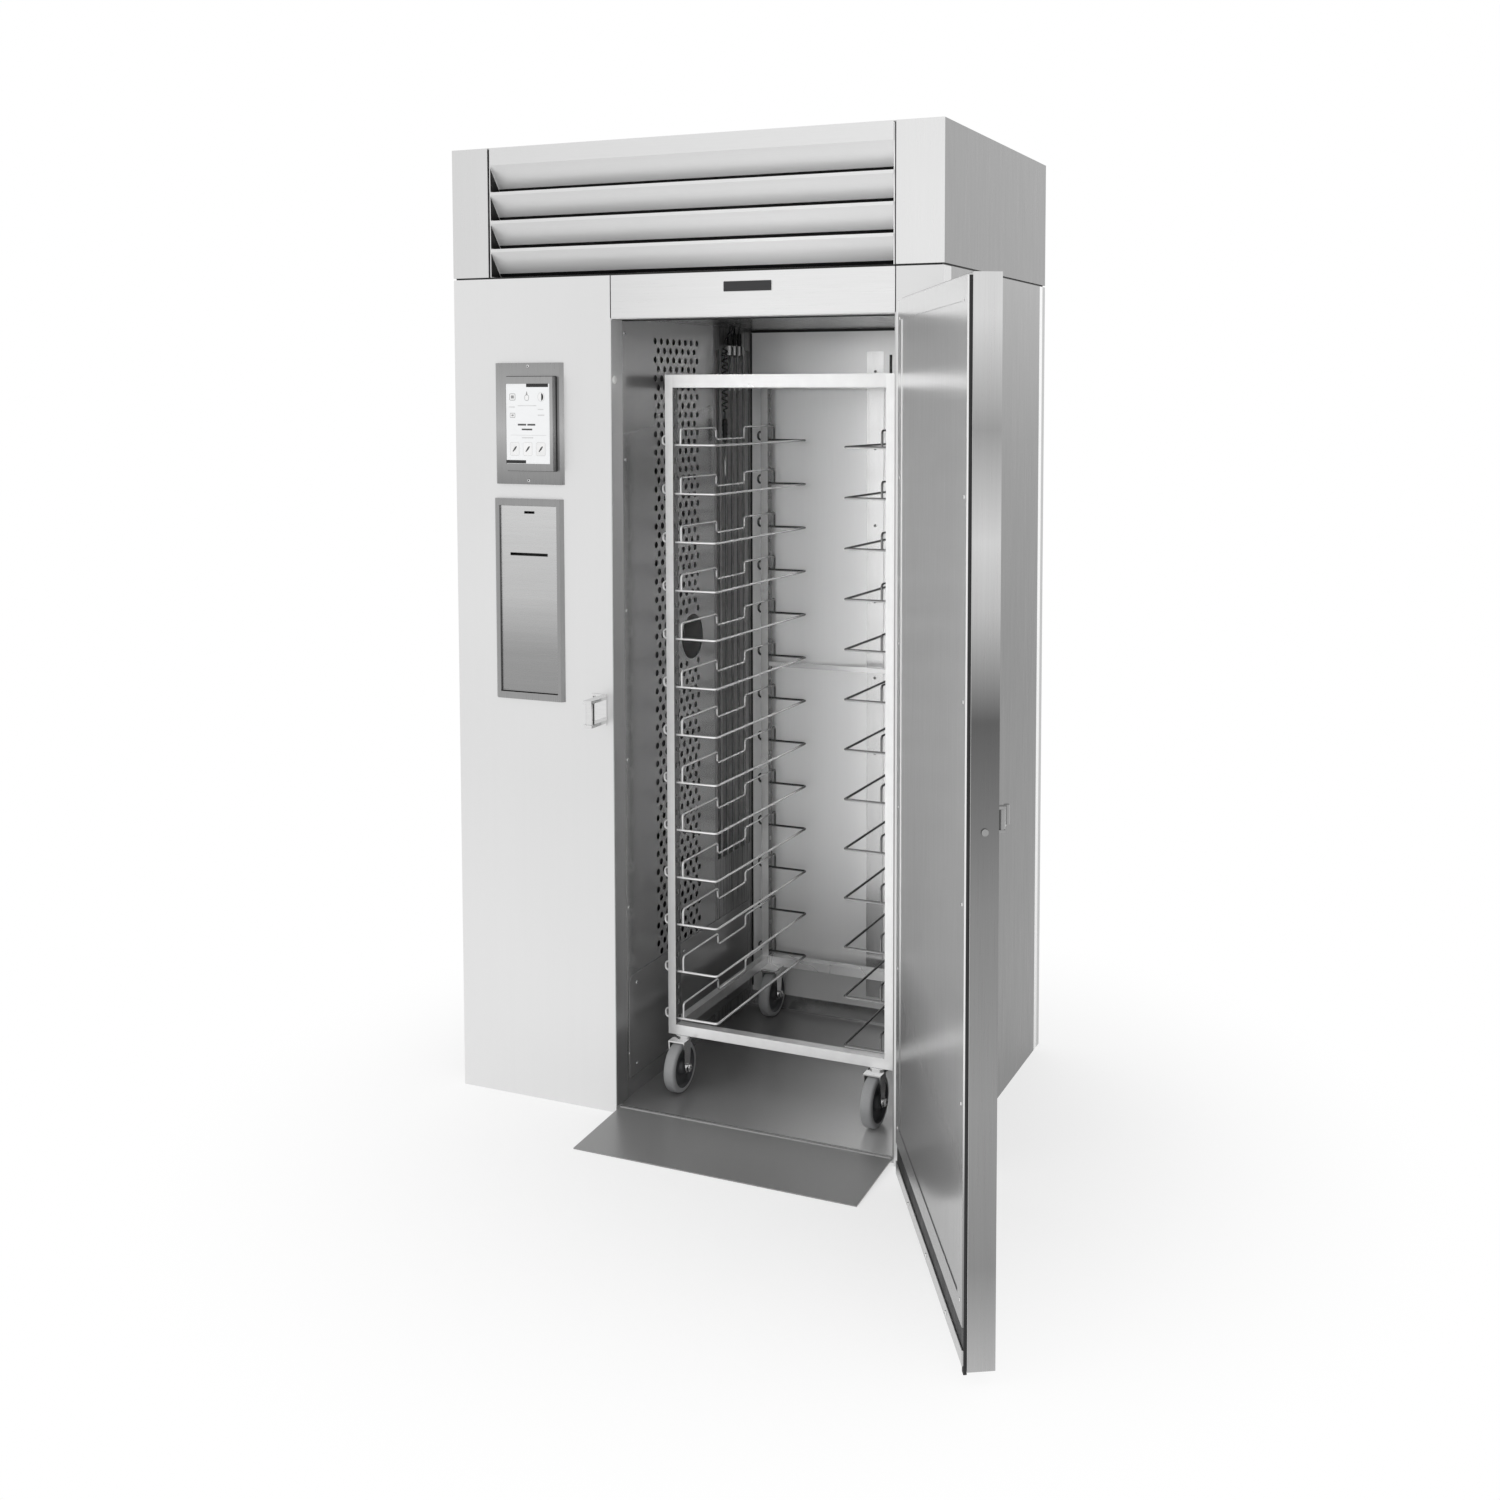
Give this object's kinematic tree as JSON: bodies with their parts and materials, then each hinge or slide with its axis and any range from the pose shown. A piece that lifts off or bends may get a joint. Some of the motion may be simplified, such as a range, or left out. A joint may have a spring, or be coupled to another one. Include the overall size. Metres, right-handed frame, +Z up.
{
  "type": "roll-in blast chiller",
  "caption": "Tall stainless roll-in blast chiller with a full-height hinged door, an entry ramp, a touchscreen, a louvred machine top and a wheeled wire-slide rack.",
  "frame": {"origin": "centre of the cabinet's footprint, on the floor", "axes": "+Z up, -Y to the front, +X to the right seen from the front"},
  "size_m": [1.5518, 1.4884, 2.24],
  "materials": {
    "brushed_panel": "fine brushed stainless, satin",
    "side_sheet": "plain rolled stainless, satin",
    "interior_sheet": "smooth stainless, half bright",
    "floor_sheet": "smooth stainless, bright",
    "door_mirror": "bright annealed stainless, near mirror",
    "rack_steel": "polished stainless tube and wire",
    "dark_metal": "dark satin",
    "hardware": "polished metal",
    "foam": "rigid insulating foam",
    "black_seal": "soft black seal",
    "black_plastic": "matt black plastic",
    "screen": "lit display behind glass",
    "wheel_grey": "grey wheel with a lighter tread",
    "coil_metal": "finned aluminium with copper tube",
    "copper": "copper tube"
  },
  "bodies": {
    "cabinet": {"floor_pan": "floor_sheet", "back_wall": "side_sheet", "left_side_wall": "side_sheet", "right_side_wall": "side_sheet", "service_panel": "brushed_panel", "right_jamb": "brushed_panel", "header_panel": "brushed_panel", "ceiling_panel": "interior_sheet", "seam_deck": "dark_metal", "machine_shell": "side_sheet", "top_cover": "side_sheet", "louvre_grille": "brushed_panel", "evaporator_cover": "interior_sheet", "return_grille": "interior_sheet", "throat_trim": "interior_sheet", "kick_plates": "interior_sheet", "back_trims": "interior_sheet", "probe_holder": "hardware", "food_probes": "black_plastic", "probe_lead": "black_plastic", "display_bezel": "brushed_panel", "touchscreen": "screen", "printer_frame": "brushed_panel", "printer_mechanism": "black_plastic", "strike": "hardware", "hinge_brackets": "hardware", "ramp_hinge_leaf": "floor_sheet", "evaporator_coil": "coil_metal", "fan_bulkhead": "side_sheet", "drain_pan": "side_sheet", "condenser_coil": "coil_metal", "condenser_shroud": "dark_metal", "compressor": "dark_metal", "electrical_box": "side_sheet", "refrigerant_pipes": "copper"},
    "door": {"door_shell": "side_sheet", "door_core": "foam", "door_gasket": "black_seal", "door_liner": "door_mirror", "door_retainer": "brushed_panel", "door_hardware": "hardware"},
    "handle": {"door_handle": "hardware"},
    "bolt": {"latch_bolt": "hardware"},
    "entry_ramp": {"ramp": "floor_sheet"},
    "paper_flap": {"printer_cover": "brushed_panel"},
    "evaporator_fan_low_rotor": {"evaporator_fan_low": "black_plastic"},
    "evaporator_fan_high_rotor": {"evaporator_fan_high": "black_plastic"},
    "condenser_fan_rotor": {"condenser_fan": "black_plastic"},
    "rack": {"rack_uprights": "rack_steel", "rack_bars": "rack_steel", "rack_base_frame": "rack_steel", "left_slides": "rack_steel", "right_slides": "rack_steel", "rigid_forks": "hardware"},
    "caster_left": {"swivel_fork_left": "hardware"},
    "caster_right": {"swivel_fork_right": "hardware"},
    "front_wheel_left": {"wheel_front_left": "wheel_grey"},
    "front_wheel_right": {"wheel_front_right": "wheel_grey"},
    "rear_wheel_left": {"wheel_rear_left": "wheel_grey"},
    "rear_wheel_right": {"wheel_rear_right": "wheel_grey"}
  },
  "joints": [
    {"name": "door_hinge", "type": "hinge", "parent": "cabinet", "child": "door", "pos_m": [0.552, -0.431, 0.9], "axis": [0, 0, 1], "range_deg": [-119.5, 0.5]},
    {"name": "handle_pivot", "type": "hinge", "parent": "door", "child": "handle", "pos_m": [0.93561, -1.04811, 0.963], "axis": [0, 0, -1], "range_deg": [-25, 0]},
    {"name": "bolt_slide", "type": "slide", "parent": "door", "child": "bolt", "axis": [0.4924, -0.8704, 0], "range_m": [0, 0.015]},
    {"name": "ramp_hinge", "type": "hinge", "parent": "cabinet", "child": "entry_ramp", "pos_m": [0.158, -0.385, 0.0117], "axis": [1, 0, 0], "range_deg": [-98, 0]},
    {"name": "printer_cover_hinge", "type": "hinge", "parent": "cabinet", "child": "paper_flap", "pos_m": [-0.406, -0.395, 0.9758], "axis": [1, 0, 0], "range_deg": [0, 95]},
    {"name": "evaporator_fan_low_spin", "type": "hinge", "parent": "cabinet", "child": "evaporator_fan_low_rotor", "pos_m": [-0.24, -0.073, 0.52], "axis": [1, 0, 0], "continuous": true},
    {"name": "evaporator_fan_high_spin", "type": "hinge", "parent": "cabinet", "child": "evaporator_fan_high_rotor", "pos_m": [-0.24, -0.073, 1.38], "axis": [1, 0, 0], "continuous": true},
    {"name": "condenser_fan_spin", "type": "hinge", "parent": "cabinet", "child": "condenser_fan_rotor", "pos_m": [0.06, -0.207, 2.082], "axis": [0, 1, 0], "continuous": true},
    {"name": "rack_roll", "type": "slide", "parent": "cabinet", "child": "rack", "axis": [0, -1, 0], "range_m": [0, 0.9]},
    {"name": "caster_swivel_left", "type": "hinge", "parent": "rack", "child": "caster_left", "pos_m": [-0.09, -0.2305, 0.14], "axis": [0, 0, 1], "continuous": true},
    {"name": "caster_swivel_right", "type": "hinge", "parent": "rack", "child": "caster_right", "pos_m": [0.406, -0.2305, 0.14], "axis": [0, 0, 1], "continuous": true},
    {"name": "front_wheel_left_spin", "type": "hinge", "parent": "caster_left", "child": "front_wheel_left", "pos_m": [-0.09, -0.2585, 0.0763], "axis": [1, 0, 0], "continuous": true},
    {"name": "front_wheel_right_spin", "type": "hinge", "parent": "caster_right", "child": "front_wheel_right", "pos_m": [0.406, -0.2585, 0.0763], "axis": [1, 0, 0], "continuous": true},
    {"name": "rear_wheel_left_spin", "type": "hinge", "parent": "rack", "child": "rear_wheel_left", "pos_m": [-0.09, 0.267, 0.0763], "axis": [1, 0, 0], "continuous": true},
    {"name": "rear_wheel_right_spin", "type": "hinge", "parent": "rack", "child": "rear_wheel_right", "pos_m": [0.406, 0.267, 0.0763], "axis": [1, 0, 0], "continuous": true}
  ],
  "couplings": [
    {"joint": "bolt_slide", "follows": "handle_pivot", "m_per_rad": -0.034377}
  ]
}
